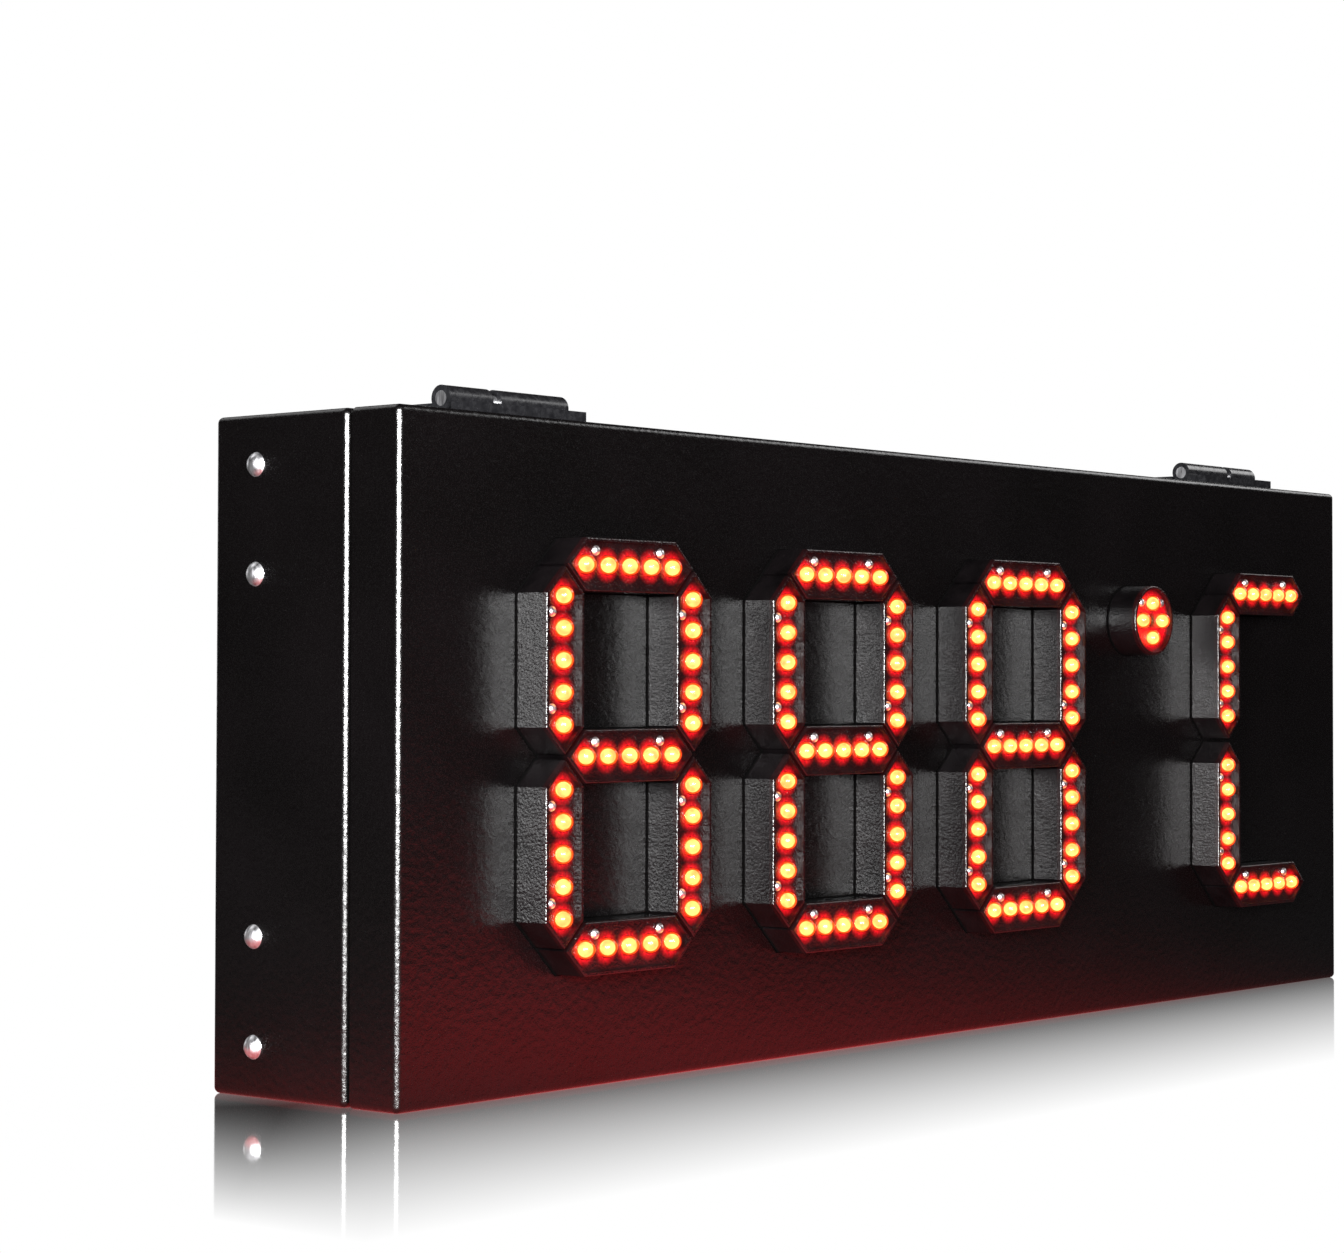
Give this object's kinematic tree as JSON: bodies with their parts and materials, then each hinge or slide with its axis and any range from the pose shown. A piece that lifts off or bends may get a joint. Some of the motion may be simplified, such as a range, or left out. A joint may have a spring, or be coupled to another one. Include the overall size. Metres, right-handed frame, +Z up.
{
  "type": "led temperature sign",
  "caption": "Wall-mounted LED temperature sign: seven-segment digits, a degree mark and a letter C on a top-hinged door of a shallow black steel cabinet.",
  "frame": {"origin": "centre of the cabinet's back face, which lies on the wall", "axes": "+X to the right seen from the front, +Y into the wall, +Z up; the display faces -Y"},
  "size_m": [0.712, 0.1235, 0.276],
  "materials": {
    "painted_steel": "black gloss powder coat with a fine mottle",
    "painted_hinge": "black gloss paint over cast leaves",
    "bright_steel": "bright zinc or stainless steel",
    "zinc_steel": "dull zinc plate",
    "lock_chrome": "satin chrome",
    "segment_plastic": "gloss black moulding",
    "led_lens": "clear red epoxy, lit",
    "seal_rubber": "closed-cell foam",
    "circuit_board": "green solder mask",
    "chip_plastic": "matt black moulding",
    "supply_case": "plain sheet case",
    "gland_nylon": "black nylon"
  },
  "bodies": {
    "cabinet": {"board_standoffs": "zinc_steel", "cabinet_shell": "painted_steel", "cable_gland": "gland_nylon", "controller_board": "circuit_board", "controller_chips": "chip_plastic", "door_seal": "seal_rubber", "gland_nut": "gland_nylon", "hinge_pin_left": "bright_steel", "hinge_pin_right": "bright_steel", "hinge_rear_leaf_left": "painted_hinge", "hinge_rear_leaf_right": "painted_hinge", "hinge_rear_screws": "bright_steel", "lock_strikers": "zinc_steel", "power_supply": "supply_case", "side_rivet_nuts": "zinc_steel", "side_screws": "bright_steel", "supply_terminals": "chip_plastic"},
    "door": {"degree_leds": "led_lens", "degree_mark": "segment_plastic", "digit_1_leds": "led_lens", "digit_1_segment_a": "segment_plastic", "digit_1_segment_b": "segment_plastic", "digit_1_segment_c": "segment_plastic", "digit_1_segment_d": "segment_plastic", "digit_1_segment_e": "segment_plastic", "digit_1_segment_f": "segment_plastic", "digit_1_segment_g": "segment_plastic", "digit_2_leds": "led_lens", "digit_2_segment_a": "segment_plastic", "digit_2_segment_b": "segment_plastic", "digit_2_segment_c": "segment_plastic", "digit_2_segment_d": "segment_plastic", "digit_2_segment_e": "segment_plastic", "digit_2_segment_f": "segment_plastic", "digit_2_segment_g": "segment_plastic", "digit_3_leds": "led_lens", "digit_3_segment_a": "segment_plastic", "digit_3_segment_b": "segment_plastic", "digit_3_segment_c": "segment_plastic", "digit_3_segment_d": "segment_plastic", "digit_3_segment_e": "segment_plastic", "digit_3_segment_f": "segment_plastic", "digit_3_segment_g": "segment_plastic", "door_pan": "painted_steel", "hinge_front_leaf_left": "painted_hinge", "hinge_front_leaf_right": "painted_hinge", "hinge_front_screws": "bright_steel", "led_boards": "circuit_board", "letter_c_leds": "led_lens", "letter_c_segment_a": "segment_plastic", "letter_c_segment_d": "segment_plastic", "letter_c_segment_e": "segment_plastic", "letter_c_segment_f": "segment_plastic", "lock_housing_left": "lock_chrome", "lock_housing_right": "lock_chrome", "segment_screws": "bright_steel"},
    "lock_left": {"lock_core_left": "lock_chrome", "lock_cam_left": "zinc_steel"},
    "lock_right": {"lock_core_right": "lock_chrome", "lock_cam_right": "zinc_steel"}
  },
  "joints": [
    {"name": "door_hinge", "type": "hinge", "parent": "cabinet", "child": "door", "pos_m": [0, -0.077, 0.1388], "axis": [-1, 0, 0], "range_deg": [0, 110]},
    {"name": "lock_left_turn", "type": "hinge", "parent": "door", "child": "lock_left", "pos_m": [-0.2395, -0.09, -0.132], "axis": [0, 0, -1], "range_deg": [0, 90]},
    {"name": "lock_right_turn", "type": "hinge", "parent": "door", "child": "lock_right", "pos_m": [0.2395, -0.09, -0.132], "axis": [0, 0, -1], "range_deg": [0, 90]}
  ]
}
